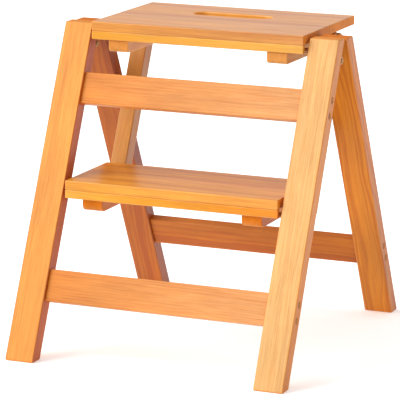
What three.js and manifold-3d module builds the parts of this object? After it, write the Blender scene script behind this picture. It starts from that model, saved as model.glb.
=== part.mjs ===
// Folding step stool chair in pine. A seat and one step hang between two leaning front legs,
// a rear frame is hinged behind them, and two links fold the seat and the step together.
// Millimetres. +X is the right, +Y the back, +Z up. The origin is on the floor under the middle.
import * as THREE from "three";
import { mergeVertices } from "three/addons/utils/BufferGeometryUtils.js";
import Module from "manifold-3d";

const wasm = await Module();
wasm.setup();

// Overall sizes
const stoolWidth = 426;
const seatHeight = 470;
const stepHeight = 250;
const frontTopDrop = 5;
const rearTopDrop = 2;
const frontLean = THREE.MathUtils.degToRad(24.25);
const rearLean = THREE.MathUtils.degToRad(27.65);
const legTopGap = 8.8;

// Leg and rail stock
const legWidth = 44;
const legThickness = 24;
const railWidth = 47;
const railThickness = 14;
const upperRailDrop = 82.1;
const lowerRailPlace = 117.6;
const rearRailPlace = 114.3;

// Boards: slabs glued up from planks, a strip under the front edge, two cleats underneath
const boardEndGap = 4.5;
const slabThickness = 14;
const seatDepth = 225.5;
const seatFrontReach = 21.8;
const seatPlanks = 4;
const stepBackGap = 9.1;
const stepFrontReach = 15.7;
const stepPlanks = 3;
const stripHeight = 12.5;
const stripDepth = 8;
const cleatWidth = 31;
const cleatHeight = 30;
const seatCleatReach = 17.8;
const seatCleatRound = 6;
const stepCleatReach = 10.2;
const stepCleatRound = 10;
const seatCleatTail = 15;
const stepCleatTail = 12;
const cleatTailRound = 5;
const tongueDrop = 13;

// Hand hole in the third seat plank
const handHoleLength = 122;
const handHoleWidth = 32;
const handHoleShift = 5.6;

// Pivots of the boards on the front legs, and the arms that carry the links
const pivotSetback = 14;
const pivotDrop = 24;
const armReach = 141.5;
const armDrop = 10;
const rodRadius = 4;
const rodBite = 10;

// Links, the rods that carry them and the caps on the rods
const linkWidth = 25;
const linkDepth = 25;
const linkFace = 8;
const linkTail = 15;
const linkRound = 4;
const linkRodRadius = 3;
const capRadius = 6.5;
const capHeight = 3.6;
const capBore = 2.3;

// The pins under the seat that stop the links when the stool is open
const stopPinRadius = 4;
const stopPinPlace = 10.3;
const stopPinInset = 4.5;

// The blocks behind the front legs that stop the rear legs
const stopBlockWidth = 36;
const stopBlockHeight = 7.5;

// Rail screws, with heads flush in the legs
const screwHeadRadius = 5;
const screwHeadHeight = 4;
const screwRadius = 2.2;
const screwBite = 22;
const screwSpread = 23;

// Hinges between the front and the rear legs
const hingeDrop = 30;
const hingeStandOff = 6;
const barrelRadius = 5.6;
const barrelLength = 41;
const pinRadius = 2;
const pinHeadRadius = 3.4;
const pinHeadHeight = 1.2;
const leafThickness = 2;
const leafWidth = 38;
const leafLength = 40;
const strapWidth = 16;
const strapLength = 23;
const strapCrank = 13.8;
const knuckleRoom = 1.8;
const hingeScrewRadius = 1.6;
const hingeScrewHeadRadius = 3.6;
const hingeScrewHeadHeight = 1.6;
const hingeScrewBite = 14;
const leafScrewSpread = 18;
const leafScrewInset = 10;
const strapScrewSpread = 10;
const strapScrewInset = 7;

// Clearances
const clearance = 0.3;
const boardClearance = 0.5;
const stopGap = 0.4;
const overrun = 2;

// Rounds and facets
const roundSteps = 6;
const rodFacets = 24;
const screwFacets = 16;

// Derived places
const legOuter = stoolWidth / 2;
const legInner = legOuter - legWidth;
const legMiddle = legOuter - legWidth / 2;
const slabEnd = legInner - boardEndGap;
const linkInner = slabEnd - linkWidth;
const cleatOuter = linkInner - boardClearance;
const cleatInner = cleatOuter - cleatWidth;
const railFront = (legThickness - railThickness) / 2;
const frontLegHeight = seatHeight - frontTopDrop;
const rearLegHeight = frontLegHeight - rearTopDrop;
const hingeHeight = rearLegHeight - hingeDrop;

// Y of a point on a leaning front leg: at a height, and an offset behind its front face.
function frontY(height, offset) {
  return height * Math.tan(frontLean) + offset / Math.cos(frontLean);
}

const seatPivot = new THREE.Vector2(
  frontY(seatHeight - pivotDrop, pivotSetback),
  seatHeight - pivotDrop,
);
const stepPivot = new THREE.Vector2(
  frontY(stepHeight - pivotDrop, pivotSetback),
  stepHeight - pivotDrop,
);
const linkSpan = seatPivot.distanceTo(stepPivot);
const rearFootFront =
  frontY(rearLegHeight, legThickness) + legTopGap + rearLegHeight * Math.tan(rearLean);
const stoolDepth = rearFootFront + legThickness / Math.cos(rearLean);
const hingeAxis = new THREE.Vector2(
  frontY(hingeHeight, legThickness + hingeStandOff),
  hingeHeight,
);

// Turns a point of the stool into (offset, along) on a frame that leans by an angle.
function onFrame(point, footY, lean) {
  const y = point.x - footY;
  return new THREE.Vector2(
    y * Math.cos(lean) - point.y * Math.sin(lean),
    y * Math.sin(lean) + point.y * Math.cos(lean),
  );
}

const hingeOnFront = onFrame(hingeAxis, 0, frontLean);
const hingeOnRear = onFrame(hingeAxis, rearFootFront, -rearLean);
const seatPivotOnFront = onFrame(seatPivot, 0, frontLean);
const stepPivotOnFront = onFrame(stepPivot, 0, frontLean);
const upperRailPlace = seatPivotOnFront.y - upperRailDrop;

// Finishes
function finish(color, roughness, metalness) {
  return () => new THREE.MeshStandardMaterial({ color, roughness, metalness });
}
const pine = finish(0xf2a868, 0.55, 0);
const palePine = finish(0xf8b975, 0.55, 0);
const topPine = finish(0xe6b396, 0.5, 0);
const deepPine = finish(0xcf7f3e, 0.6, 0);
const steel = finish(0xb9bbc0, 0.3, 1);
const plug = finish(0xc08a52, 0.6, 0);

// Solids from geometries, and back

// A closed solid from a geometry, with shared vertices merged and collapsed faces dropped.
function solidOf(geometry) {
  const bare = geometry.clone();
  bare.deleteAttribute("normal");
  bare.deleteAttribute("uv");
  const merged = mergeVertices(bare);
  const index = merged.index.array;
  const kept = [];
  for (let i = 0; i < index.length; i += 3) {
    const [a, b, c] = [index[i], index[i + 1], index[i + 2]];
    if (a !== b && b !== c && a !== c) kept.push(a, b, c);
  }
  return new wasm.Manifold(
    new wasm.Mesh({
      numProp: 3,
      vertProperties: merged.attributes.position.array,
      triVerts: new Uint32Array(kept),
    }),
  );
}

// A geometry from a solid.
function geometryOf(solid) {
  const mesh = solid.getMesh();
  const geometry = new THREE.BufferGeometry();
  geometry.setAttribute("position", new THREE.BufferAttribute(mesh.vertProperties, 3));
  geometry.setIndex(new THREE.BufferAttribute(mesh.triVerts, 1));
  return geometry;
}

// A solid with others cut out of it.
function cut(solid, cutters) {
  return cutters.reduce((left, cutter) => left.subtract(cutter), solid);
}

// A closed outline of corners [u, v] or, for a rounded corner, [u, v, radius].
function outlineOf(corners) {
  const shape = new THREE.Shape();
  corners.forEach(([u, v, radius = 0], i) => {
    const corner = new THREE.Vector2(u, v);
    const towards = ([otherU, otherV]) =>
      new THREE.Vector2(otherU, otherV).sub(corner).setLength(radius).add(corner);
    const start = towards(corners.at(i - 1));
    const end = towards(corners[(i + 1) % corners.length]);
    if (i === 0) shape.moveTo(start.x, start.y);
    else shape.lineTo(start.x, start.y);
    if (radius > 0) shape.quadraticCurveTo(u, v, end.x, end.y);
  });
  shape.closePath();
  return shape;
}

// An outline in the YZ plane carried along X between two ends.
function prism(corners, endA, endB) {
  const geometry = new THREE.ExtrudeGeometry(outlineOf(corners), {
    depth: Math.abs(endB - endA),
    bevelEnabled: false,
    curveSegments: roundSteps,
  });
  geometry.applyMatrix4(
    new THREE.Matrix4().makeBasis(
      new THREE.Vector3(0, 1, 0),
      new THREE.Vector3(0, 0, 1),
      new THREE.Vector3(1, 0, 0),
    ),
  );
  geometry.translate(Math.min(endA, endB), 0, 0);
  return solidOf(geometry);
}

// A rectangle in the YZ plane carried along X.
function bar(x, y, z) {
  return prism([[y[0], z[0]], [y[1], z[0]], [y[1], z[1]], [y[0], z[1]]], x[0], x[1]);
}

// A profile of [radius, place] turned round an axis through a point, its places counted
// along the direction, which is one of +X, -X, +Y and -Y.
function turned(profile, facets, centre, direction) {
  const points = profile.map(([radius, place]) => new THREE.Vector2(radius, place));
  const geometry = new THREE.LatheGeometry(points, facets);
  const turn = new THREE.Quaternion().setFromUnitVectors(new THREE.Vector3(0, 1, 0), direction);
  geometry.applyQuaternion(turn);
  geometry.translate(centre.x, centre.y, centre.z);
  return solidOf(geometry);
}

// A plain round rod between two places along a direction.
function round(radius, from, to, facets, centre, direction) {
  return turned([[0, from], [radius, from], [radius, to], [0, to]], facets, centre, direction);
}

const right = new THREE.Vector3(1, 0, 0);
const forward = new THREE.Vector3(0, -1, 0);
const backward = new THREE.Vector3(0, 1, 0);
const sides = [["left", -1], ["right", 1]];

// A point in the YZ plane of a group.
function at(y, z) {
  return new THREE.Vector3(0, y, z);
}

// The direction of X that points to a side.
function outward(side) {
  return right.clone().multiplyScalar(side);
}

function addPiece(group, name, solid, material) {
  const mesh = new THREE.Mesh(geometryOf(solid), material());
  mesh.name = name;
  group.add(mesh);
}

// Groups: each has its origin at its foot or its pivot
const stool = new THREE.Group();
stool.position.y = -stoolDepth / 2;

const frontFrame = new THREE.Group();
frontFrame.rotation.x = -frontLean;

const rearFrame = new THREE.Group();
rearFrame.position.y = rearFootFront;
rearFrame.rotation.x = rearLean;

const seat = new THREE.Group();
seat.position.set(0, seatPivot.x, seatPivot.y);

const step = new THREE.Group();
step.position.set(0, stepPivot.x, stepPivot.y);

const links = new THREE.Group();
links.position.set(0, stepPivot.x + armReach, stepPivot.y - armDrop);
links.rotation.x = -frontLean;

stool.add(frontFrame, rearFrame, seat, step, links);

// Legs: the feet and the tops are cut level with the floor
function legSolid(side, lean, height) {
  const foot = (offset) => offset * Math.tan(lean);
  const head = (offset) => (height + offset * Math.sin(lean)) / Math.cos(lean);
  const corners = [
    [0, foot(0)],
    [legThickness, foot(legThickness)],
    [legThickness, head(legThickness)],
    [0, head(0)],
  ];
  return prism(corners, side * legInner, side * legOuter);
}

// The two places along a leg of the screws that hold a rail.
function railScrewPlaces(railPlace) {
  return [railPlace - screwSpread / 2, railPlace + screwSpread / 2];
}

// A screw hole from the outside of a leg, wide enough for the head at its mouth.
function railScrewHole(side, place) {
  const shank = screwRadius + clearance;
  const head = screwHeadRadius + clearance;
  const seatAt = legOuter - screwHeadHeight - clearance;
  return turned(
    [[0, legInner - overrun], [shank, legInner - overrun], [shank, seatAt], [head, seatAt],
      [head, legOuter + overrun], [0, legOuter + overrun]],
    screwFacets,
    at(legThickness / 2, place),
    outward(side),
  );
}

function railScrewSolid(side, place) {
  const seatAt = legOuter - screwHeadHeight;
  return turned(
    [[0, legInner - screwBite], [screwRadius, legInner - screwBite], [screwRadius, seatAt],
      [screwHeadRadius, seatAt], [screwHeadRadius, legOuter], [0, legOuter]],
    screwFacets,
    at(legThickness / 2, place),
    outward(side),
  );
}

// A rail lies square to its legs, in the middle of their thickness.
function railSolid(place) {
  const rail = bar(
    [-legInner, legInner],
    [railFront, railFront + railThickness],
    [place - railWidth / 2, place + railWidth / 2],
  );
  const holes = [];
  for (const [, side] of sides) {
    for (const screwPlace of railScrewPlaces(place)) {
      holes.push(
        round(
          screwRadius + clearance,
          legInner - screwBite - clearance,
          legInner + overrun,
          screwFacets,
          at(legThickness / 2, screwPlace),
          outward(side),
        ),
      );
    }
  }
  return cut(rail, holes);
}

function addRail(frame, name, place, material) {
  addPiece(frame, name, railSolid(place), material);
  for (const [sideName, side] of sides) {
    railScrewPlaces(place).forEach((screwPlace, i) => {
      const level = i === 0 ? "lower" : "upper";
      addPiece(frame, `${name}_screw_${sideName}_${level}`, railScrewSolid(side, screwPlace), plug);
    });
  }
}

// Hinges
const barrelInner = legMiddle - barrelLength / 2;
const barrelOuter = legMiddle + barrelLength / 2;
const strapInner = legMiddle - strapWidth / 2;
const strapOuter = legMiddle + strapWidth / 2;

function barrel(side, radius, from, to, centre) {
  return round(radius, from, to, screwFacets, centre, outward(side));
}

// The screws of a front leaf, as [X, place along the leg], one on each side of its middle.
const leafTop = hingeOnFront.y - barrelRadius;
const leafScrews = [
  [legMiddle - leafScrewSpread / 2, leafTop - leafScrewInset],
  [legMiddle + leafScrewSpread / 2, leafTop - leafScrewInset - leafScrewSpread],
];

// The screws of a rear strap, one above the other.
const strapBend = hingeOnRear.y - strapCrank;
const strapScrews = [
  [legMiddle, strapBend + strapScrewInset],
  [legMiddle, strapBend + strapScrewInset + strapScrewSpread],
];

// A hinge screw that goes along a direction into the leg face at the given offset.
function hingeScrewSolid(x, face, place, direction) {
  const headTo = -leafThickness - clearance * 2;
  const headFrom = headTo - hingeScrewHeadHeight;
  return turned(
    [[0, headFrom], [hingeScrewHeadRadius, headFrom], [hingeScrewHeadRadius, headTo],
      [hingeScrewRadius, headTo], [hingeScrewRadius, hingeScrewBite], [0, hingeScrewBite]],
    screwFacets,
    new THREE.Vector3(x, face, place),
    direction,
  );
}

function hingeScrewHole(x, face, place, direction) {
  return round(
    hingeScrewRadius + clearance,
    -leafThickness - overrun,
    hingeScrewBite + clearance,
    screwFacets,
    new THREE.Vector3(x, face, place),
    direction,
  );
}

function leafScrewHoles(side) {
  return leafScrews.map(([x, place]) => hingeScrewHole(side * x, legThickness, place, forward));
}

function strapScrewHoles(side) {
  return strapScrews.map(([x, place]) => hingeScrewHole(side * x, 0, place, backward));
}

function pinHole(side, centre) {
  return barrel(side, pinRadius + clearance, barrelInner - overrun, barrelOuter + overrun, centre);
}

// The front leaf lies on the back of the front leg, and has the two outer knuckles.
function frontLeafSolid(side) {
  const centre = at(hingeOnFront.x, hingeOnFront.y);
  const face = legThickness + clearance;
  const plate = bar(
    [side * (legMiddle - leafWidth / 2), side * (legMiddle + leafWidth / 2)],
    [face, face + leafThickness],
    [leafTop - leafLength, hingeOnFront.y],
  );
  const whole = plate.add(barrel(side, barrelRadius, barrelInner, barrelOuter, centre));
  const slot = bar(
    [side * (strapInner - clearance), side * (strapOuter + clearance)],
    [face - overrun, hingeOnFront.x + barrelRadius + overrun],
    [leafTop - knuckleRoom, hingeOnFront.y + barrelRadius + overrun],
  );
  return cut(whole, [slot, pinHole(side, centre), ...leafScrewHoles(side)]);
}

// The outline of a strap of even thickness along a line that turns at its middle point.
function strapOutline(start, bend, end) {
  const toStart = start.clone().sub(bend).normalize();
  const toEnd = end.clone().sub(bend).normalize();
  const halfAngle = Math.acos(toStart.dot(toEnd)) / 2;
  const half = leafThickness / 2;
  const mitre = toStart.clone().add(toEnd).setLength(half / Math.sin(halfAngle));
  const across = (direction) => {
    const square = new THREE.Vector2(-direction.y, direction.x).multiplyScalar(half);
    return square.dot(mitre) > 0 ? square : square.negate();
  };
  return [
    start.clone().add(across(toStart)),
    bend.clone().add(mitre),
    end.clone().add(across(toEnd)),
    end.clone().sub(across(toEnd)),
    bend.clone().sub(mitre),
    start.clone().sub(across(toStart)),
  ].map((point) => [point.x, point.y]);
}

// The rear strap has the middle knuckle. It runs back from it to the front of the rear leg,
// then up the leg.
function rearStrapSolid(side) {
  const centre = at(hingeOnRear.x, hingeOnRear.y);
  const flat = -clearance - leafThickness / 2;
  const outline = strapOutline(
    hingeOnRear,
    new THREE.Vector2(flat, strapBend),
    new THREE.Vector2(flat, strapBend + strapLength),
  );
  const strap = prism(outline, side * strapInner, side * strapOuter);
  const knuckle = barrel(side, barrelRadius, strapInner, strapOuter, centre);
  return cut(strap.add(knuckle), [pinHole(side, centre), ...strapScrewHoles(side)]);
}

function hingePinSolid(side) {
  const inner = barrelInner - clearance;
  const outer = barrelOuter + clearance;
  return turned(
    [[0, inner - pinHeadHeight], [pinHeadRadius, inner - pinHeadHeight], [pinHeadRadius, inner],
      [pinRadius, inner], [pinRadius, outer], [pinHeadRadius, outer],
      [pinHeadRadius, outer + pinHeadHeight], [0, outer + pinHeadHeight]],
    screwFacets,
    at(hingeOnFront.x, hingeOnFront.y),
    outward(side),
  );
}

// Front frame

// The stop block is a wedge that fills the space between the tops of the front and rear legs.
function stopBlockSolid(side) {
  const corner = (height, behind) => {
    const rearFace = rearFootFront - height * Math.tan(rearLean) - stopGap / Math.cos(rearLean);
    const y = behind ? rearFace : frontY(height, legThickness + clearance);
    return onFrame(new THREE.Vector2(y, height), 0, frontLean).toArray();
  };
  const under = rearLegHeight - stopBlockHeight;
  return prism(
    [corner(under, false), corner(under, true), corner(rearLegHeight, true),
      corner(rearLegHeight, false)],
    side * (legMiddle - stopBlockWidth / 2),
    side * (legMiddle + stopBlockWidth / 2),
  );
}

function rodHole(centre, side) {
  return round(
    rodRadius + clearance,
    legInner - overrun,
    legInner + rodBite + clearance,
    rodFacets,
    centre,
    outward(side),
  );
}

function addFrontFrame() {
  const rods = [
    ["seat_pivot_rod", at(seatPivotOnFront.x, seatPivotOnFront.y)],
    ["step_pivot_rod", at(stepPivotOnFront.x, stepPivotOnFront.y)],
  ];
  for (const [sideName, side] of sides) {
    const screwPlaces = [...railScrewPlaces(upperRailPlace), ...railScrewPlaces(lowerRailPlace)];
    const leg = cut(legSolid(side, frontLean, frontLegHeight), [
      ...screwPlaces.map((place) => railScrewHole(side, place)),
      ...rods.map(([, centre]) => rodHole(centre, side)),
      ...leafScrewHoles(side),
    ]);
    addPiece(frontFrame, `front_leg_${sideName}`, leg, palePine);
    addPiece(frontFrame, `rear_stop_block_${sideName}`, stopBlockSolid(side), pine);
    addPiece(frontFrame, `hinge_front_leaf_${sideName}`, frontLeafSolid(side), steel);
    addPiece(frontFrame, `hinge_pin_${sideName}`, hingePinSolid(side), steel);
    leafScrews.forEach(([x, place], i) => {
      const screw = hingeScrewSolid(side * x, legThickness, place, forward);
      addPiece(frontFrame, `hinge_front_screw_${sideName}_${i + 1}`, screw, steel);
    });
  }
  addRail(frontFrame, "front_rail_upper", upperRailPlace, pine);
  addRail(frontFrame, "front_rail_lower", lowerRailPlace, pine);
  for (const [name, centre] of rods) {
    const end = legInner + rodBite;
    addPiece(frontFrame, name, round(rodRadius, -end, end, rodFacets, centre, right), steel);
  }
}

// Rear frame
function addRearFrame() {
  for (const [sideName, side] of sides) {
    const leg = cut(legSolid(side, -rearLean, rearLegHeight), [
      ...railScrewPlaces(rearRailPlace).map((place) => railScrewHole(side, place)),
      ...strapScrewHoles(side),
    ]);
    addPiece(rearFrame, `rear_leg_${sideName}`, leg, deepPine);
    addPiece(rearFrame, `hinge_rear_strap_${sideName}`, rearStrapSolid(side), steel);
    strapScrews.forEach(([x, place], i) => {
      const screw = hingeScrewSolid(side * x, 0, place, backward);
      addPiece(rearFrame, `hinge_rear_screw_${sideName}_${i + 1}`, screw, steel);
    });
  }
  addRail(rearFrame, "rear_rail", rearRailPlace, deepPine);
}

// Boards. Places are counted from the pivot: Y to the back, Z up.
const slabUnder = pivotDrop - slabThickness;
const slabTop = pivotDrop;
const cleatUnder = slabUnder - cleatHeight;

// Where the front face of a link passes the underside of the step, level with the slab.
const linkFaceAtSlab =
  armReach + (slabUnder + armDrop) * Math.tan(frontLean) - linkFace / Math.cos(frontLean);
const stepDepth = stepFrontReach + linkFaceAtSlab - stepBackGap;

// A stop pin lies against the front of its link, above the link's pivot on the seat.
const stopPinOut = linkFace + stopGap + stopPinRadius;
const stopPinY =
  armReach + stopPinPlace * Math.sin(frontLean) - stopPinOut * Math.cos(frontLean);
const stopPinZ =
  stopPinPlace * Math.cos(frontLean) + stopPinOut * Math.sin(frontLean) - armDrop;
const stopPinEnd = slabEnd - stopPinInset;

// The cleat's outline: its front end is let in round the strip, and a tongue, where there is
// one, is a tail lowered behind the slab.
function cleatCorners(front, strip, frontRound, slabBack, tail, drop) {
  const end = armReach + tail;
  const top = slabUnder - drop;
  const shoulder = drop > 0 ? [[slabBack, top], [slabBack, slabUnder]] : [];
  return [
    [front, cleatUnder, frontRound],
    [end, cleatUnder, cleatTailRound],
    [end, top, cleatTailRound],
    ...shoulder,
    [strip + clearance, slabUnder],
    [strip + clearance, slabUnder - stripHeight - clearance],
    [front, slabUnder - stripHeight - clearance],
  ];
}

// Two cleats under a board, bored for rods and pins, each given as [radius, Y, Z].
function addCleats(board, name, corners, rods) {
  for (const [sideName, side] of sides) {
    const holes = rods.map(([radius, y, z]) =>
      round(radius + clearance, 0, legInner, rodFacets, at(y, z), outward(side)),
    );
    const cleat = cut(prism(corners, side * cleatInner, side * cleatOuter), holes);
    addPiece(board, `${name}_cleat_${sideName}`, cleat, pine);
  }
}

function addPlanks(board, name, front, depth, count, holes) {
  const width = depth / count;
  for (let i = 0; i < count; i++) {
    const start = front + i * width;
    const plank = bar([-slabEnd, slabEnd], [start, start + width], [slabUnder, slabTop]);
    addPiece(board, `${name}_plank_${i + 1}`, cut(plank, holes), topPine);
  }
}

function addStrip(board, name, front) {
  const strip = bar(
    [-slabEnd, slabEnd],
    [front, front + stripDepth],
    [slabUnder - stripHeight, slabUnder],
  );
  addPiece(board, `${name}_front_strip`, strip, pine);
}

// The hand hole: a slot with round ends, a little behind the middle of the third plank.
function handHole() {
  const half = handHoleLength / 2 - handHoleWidth / 2;
  const radius = handHoleWidth / 2;
  const plankWidth = seatDepth / seatPlanks;
  const place = plankWidth * 2 + plankWidth / 2 - seatFrontReach + handHoleShift;
  const shape = new THREE.Shape();
  shape.absarc(half, place, radius, -Math.PI / 2, Math.PI / 2);
  shape.absarc(-half, place, radius, Math.PI / 2, (Math.PI * 3) / 2);
  shape.closePath();
  const geometry = new THREE.ExtrudeGeometry(shape, {
    depth: slabThickness + overrun * 2,
    bevelEnabled: false,
    curveSegments: rodFacets / 2,
  });
  geometry.translate(0, 0, slabUnder - overrun);
  return solidOf(geometry);
}

// The rods that pass through the cleats of both boards.
const boardRods = [[rodRadius, 0, 0], [linkRodRadius, armReach, -armDrop]];

function addSeat() {
  const back = seatDepth - seatFrontReach;
  const strip = stripDepth - seatFrontReach;
  addPlanks(seat, "seat", -seatFrontReach, seatDepth, seatPlanks, [handHole()]);
  addStrip(seat, "seat", -seatFrontReach);
  addCleats(
    seat,
    "seat",
    cleatCorners(-seatCleatReach, strip, seatCleatRound, back, seatCleatTail, 0),
    [...boardRods, [stopPinRadius, stopPinY, stopPinZ]],
  );
  for (const [sideName, side] of sides) {
    const centre = at(stopPinY, stopPinZ);
    const pin = round(stopPinRadius, cleatInner, stopPinEnd, rodFacets, centre, outward(side));
    addPiece(seat, `link_stop_pin_${sideName}`, pin, steel);
  }
}

function addStep() {
  const back = stepDepth - stepFrontReach;
  const strip = stripDepth - stepFrontReach;
  addPlanks(step, "step", -stepFrontReach, stepDepth, stepPlanks, []);
  addStrip(step, "step", -stepFrontReach);
  addCleats(
    step,
    "step",
    cleatCorners(-stepCleatReach, strip, stepCleatRound, back, stepCleatTail, tongueDrop),
    boardRods,
  );
}

// Links are plain bars parallel to the front legs, with their ends cut square.
const capFrom = slabEnd + clearance;

function linkSolid(side) {
  const back = linkDepth - linkFace;
  const corners = [
    [-linkFace, -linkTail, linkRound],
    [back, -linkTail, linkRound],
    [back, linkSpan + linkTail, linkRound],
    [-linkFace, linkSpan + linkTail, linkRound],
  ];
  const hole = (place) =>
    round(linkRodRadius + clearance, 0, legInner, rodFacets, at(0, place), outward(side));
  return cut(prism(corners, side * linkInner, side * slabEnd), [hole(0), hole(linkSpan)]);
}

// A cap with a round top, pushed on the end of a rod.
function capSolid(side, place) {
  const bore = linkRodRadius + clearance;
  const boreEnd = capFrom + capBore;
  const end = capFrom + capHeight;
  return turned(
    [[bore, capFrom], [capRadius, capFrom], [capRadius, capFrom + capHeight / 2],
      [capRadius / 2, end], [0, end], [0, boreEnd], [bore, boreEnd], [bore, capFrom]],
    rodFacets,
    at(0, place),
    outward(side),
  );
}

function addLinks() {
  const rodEnd = capFrom + capBore - clearance;
  for (const [sideName, side] of sides) {
    addPiece(links, `link_${sideName}`, linkSolid(side), pine);
  }
  for (const [boardName, place] of [["step", 0], ["seat", linkSpan]]) {
    const rod = round(linkRodRadius, -rodEnd, rodEnd, rodFacets, at(0, place), right);
    addPiece(links, `${boardName}_link_rod`, rod, steel);
    for (const [sideName, side] of sides) {
      addPiece(links, `${boardName}_link_cap_${sideName}`, capSolid(side, place), steel);
    }
  }
}

addFrontFrame();
addRearFrame();
addSeat();
addStep();
addLinks();

export default stool;
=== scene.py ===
import math

import bpy
import numpy as np
from mathutils import Matrix, Vector
from mathutils.geometry import tessellate_polygon


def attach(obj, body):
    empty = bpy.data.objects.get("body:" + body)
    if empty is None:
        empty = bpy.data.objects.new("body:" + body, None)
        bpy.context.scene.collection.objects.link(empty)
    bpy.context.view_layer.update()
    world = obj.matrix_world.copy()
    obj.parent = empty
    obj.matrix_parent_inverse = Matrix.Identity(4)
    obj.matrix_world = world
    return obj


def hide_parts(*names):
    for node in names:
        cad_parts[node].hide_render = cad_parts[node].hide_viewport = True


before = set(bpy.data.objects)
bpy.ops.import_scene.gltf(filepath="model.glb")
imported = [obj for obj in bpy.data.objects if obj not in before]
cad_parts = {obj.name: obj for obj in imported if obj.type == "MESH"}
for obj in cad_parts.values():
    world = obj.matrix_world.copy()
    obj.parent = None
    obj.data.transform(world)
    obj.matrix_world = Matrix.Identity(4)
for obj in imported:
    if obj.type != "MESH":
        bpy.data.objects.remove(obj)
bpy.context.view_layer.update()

# Sizes of the stool, in millimetres, as the CAD part has them.
STOOL_WIDTH, SEAT_HEIGHT, STEP_HEIGHT = 426.0, 470.0, 250.0
FRONT_LEG_HEIGHT, REAR_LEG_HEIGHT, LEG_TOP_GAP = 465.0, 463.0, 8.8
FRONT_LEAN, REAR_LEAN = math.radians(24.25), math.radians(27.65)
LEG_WIDTH, LEG_THICKNESS = 44.0, 24.0
RAIL_WIDTH, RAIL_THICKNESS = 47.0, 14.0
UPPER_RAIL_DROP, LOWER_RAIL_PLACE, REAR_RAIL_PLACE = 82.1, 117.6, 114.3
BOARD_END_GAP, SLAB_THICKNESS = 4.5, 14.0
SEAT_PLANKS, SEAT_DEPTH, SEAT_FRONT = 4, 225.5, -21.8
STEP_PLANKS, STEP_FRONT, STEP_BACK_GAP = 3, -15.7, 9.1
STRIP_HEIGHT, STRIP_DEPTH = 12.5, 8.0
HOLED_PLANK, HOLE_LENGTH, HOLE_WIDTH, HOLE_SHIFT = 3, 122.0, 32.0, 5.6
CLEAT_WIDTH, CLEAT_HEIGHT, CLEAT_GAP, TONGUE_DROP = 31.0, 30.0, 0.5, 13.0
SEAT_CLEAT_FRONT, SEAT_CLEAT_ROUND, SEAT_CLEAT_TAIL = -17.8, 6.0, 15.0
STEP_CLEAT_FRONT, STEP_CLEAT_ROUND, STEP_CLEAT_TAIL = -10.2, 10.0, 12.0
PIVOT_SETBACK, PIVOT_DROP, ARM_REACH, ARM_DROP = 14.0, 24.0, 141.5, 10.0
LINK_WIDTH, LINK_DEPTH, LINK_FACE, LINK_TAIL = 25.0, 25.0, 8.0, 15.0
ROD_RADIUS, LINK_ROD_RADIUS, ROD_BITE, LINK_ROD_END = 4.0, 3.0, 10.0, 2.0
STOP_PIN_RADIUS, STOP_PIN_PLACE, STOP_PIN_GAP, STOP_PIN_INSET = 4.0, 10.3, 0.4, 4.5
STOP_BLOCK_WIDTH, STOP_BLOCK_HEIGHT, STOP_GAP = 36.0, 7.5, 0.4
CAP_RADIUS, CAP_HEIGHT = 6.5, 3.6
HINGE_DROP, HINGE_STAND_OFF, BARREL_RADIUS, BARREL_LENGTH = 30.0, 6.0, 5.6, 41.0
PIN_RADIUS, PIN_HEAD_RADIUS, PIN_HEAD_HEIGHT, PIN_PLAY = 2.0, 3.4, 1.2, 0.3
LEAF_THICKNESS, LEAF_WIDTH, LEAF_LENGTH = 2.0, 38.0, 40.0
STRAP_WIDTH, STRAP_LENGTH, STRAP_CRANK = 16.0, 23.0, 13.8
SCREW_SPREAD, PLUG_RADIUS, PLUG_HEIGHT, PLUG_BORE = 23.0, 5.0, 4.0, 5.15
CLEARANCE = 0.3
# A leaf's screws, across from the leg's middle and down from the leaf's top; and a strap's, up
# from its bend. Their heads are seated this far from the leg's face.
LEAF_SCREWS, STRAP_SCREWS = ((-9.0, 10.0), (9.0, 28.0)), (7.0, 17.0)
SCREW_SEAT = LEAF_THICKNESS + 2 * CLEARANCE

LEG_OUTER = STOOL_WIDTH / 2
LEG_INNER = LEG_OUTER - LEG_WIDTH
LEG_MIDDLE = LEG_OUTER - LEG_WIDTH / 2
SLAB_END = LEG_INNER - BOARD_END_GAP
LINK_INNER = SLAB_END - LINK_WIDTH
CLEAT_OUTER = LINK_INNER - CLEAT_GAP
CLEAT_INNER = CLEAT_OUTER - CLEAT_WIDTH
BOARD_UNDER = PIVOT_DROP - SLAB_THICKNESS
SIDES = (("left", -1), ("right", 1))

# Sanded edges: the quarter rounds at each kind of piece's two ends along X, and the hand hole's.
LEG_EASE, RAIL_EASE, LINK_EASE, BOARD_EASE, CLEAT_EASE, BLOCK_EASE = 1.7, 0.7, 1.5, 1.5, 1.3, 0.8
METAL_EASE, PLATE_EASE, HOLE_EASE = 0.4, 0.2, 2.6
# The radii of the edges that run along X. A glued edge is only just eased.
FOOT_ROUND, LEG_TOP_ROUND, RAIL_ROUND, LINK_ROUND = 2.8, 3.2, 1.8, 3.4
BOARD_ROUND, GLUED_ROUND, STRIP_ROUNDS = 2.0, 0.45, (1.8, 0.8, 0.8, 1.2)
SHOULDER_ROUND, CLEAT_TAIL_ROUND, CLEAT_FRONT_ROUND, PLATE_ROUND = 1.0, 4.5, 1.6, 0.5

# How many points make a corner's arc, the quarter round at an end, and the ring of a turned piece.
CORNER_POINTS, EASE_POINTS, FACETS, ROD_FACETS, PIN_FACETS = 5, 4, 40, 36, 28

# Where a piece's grain starts: a step further along than the last one's, and back past the span.
GRAIN_STEP, GRAIN_SPAN = 311.0, 1987.0
# The stain of a leg's or a link's sawn ends, and the painted shade on the seat's front faces.
SAWN_STAIN, SEAT_FRONT_PAINTED_SHADE = 0.55, 0.15

# The photograph's view, in metres and degrees, with the lens and the sensor in millimetres.
AZIMUTH, ELEVATION, ROLL = 22.0268, 12.2985, 0.5631
DISTANCE, LENS, SENSOR = 3.6404, 238.076, 36.0
AIM = (0.08817, -0.25700, 0.26409)
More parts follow.
